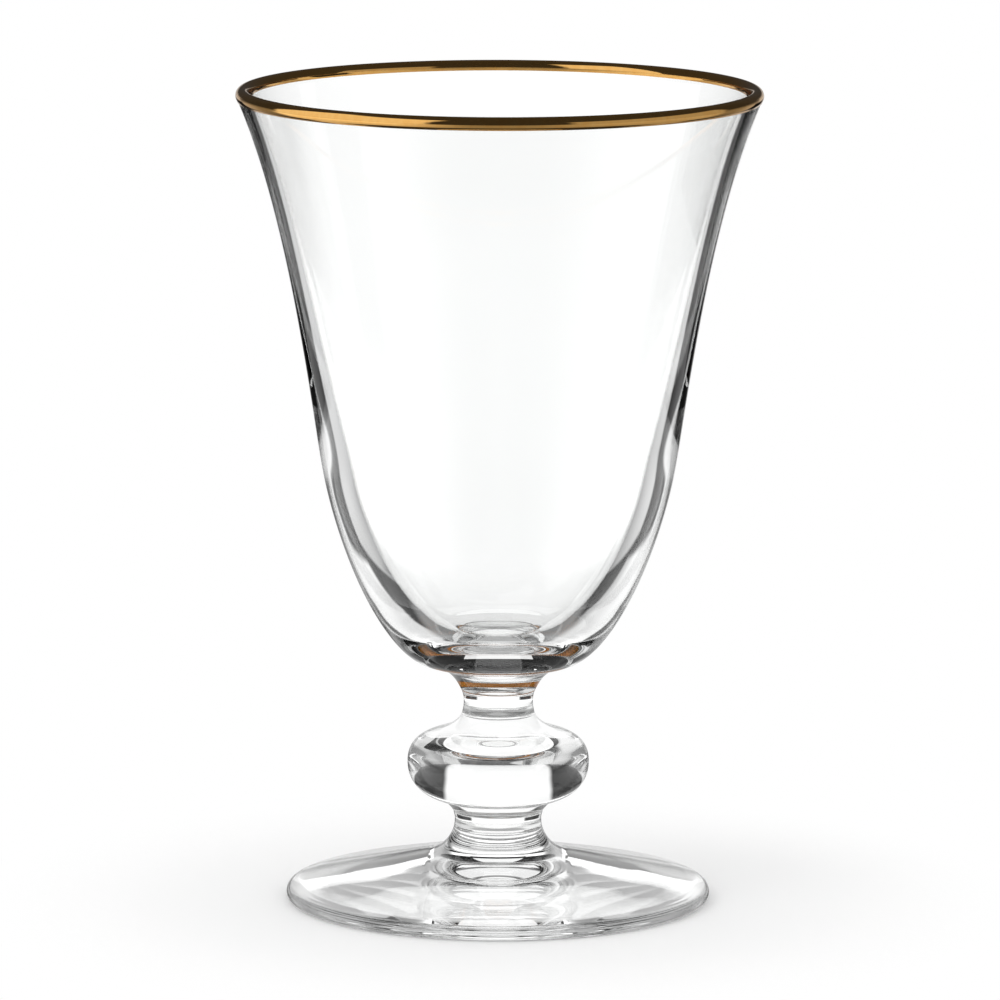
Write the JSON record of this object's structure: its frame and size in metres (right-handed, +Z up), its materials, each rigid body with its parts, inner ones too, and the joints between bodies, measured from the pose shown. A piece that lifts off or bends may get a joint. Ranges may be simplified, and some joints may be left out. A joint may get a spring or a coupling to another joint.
{
  "type": "goblet",
  "caption": "Clear glass stemmed goblet with a flared bowl, a short stem with a ball knop, a wide plate foot and a thin gold band over the lip.",
  "frame": {"origin": "on the axis, at the plane the foot rests on", "axes": "+Z up the axis from the foot to the rim, which is also the longest extent; the goblet is turned about it"},
  "size_m": [0.088, 0.088, 0.1374],
  "materials": {
    "clear_glass": "fire-polished clear glass",
    "gold_band": "bright fired gold"
  },
  "bodies": {
    "root": {"foot": "clear_glass", "lower_neck": "clear_glass", "knop": "clear_glass", "upper_neck": "clear_glass", "bowl": "clear_glass", "gold_rim": "gold_band"}
  },
  "joints": []
}
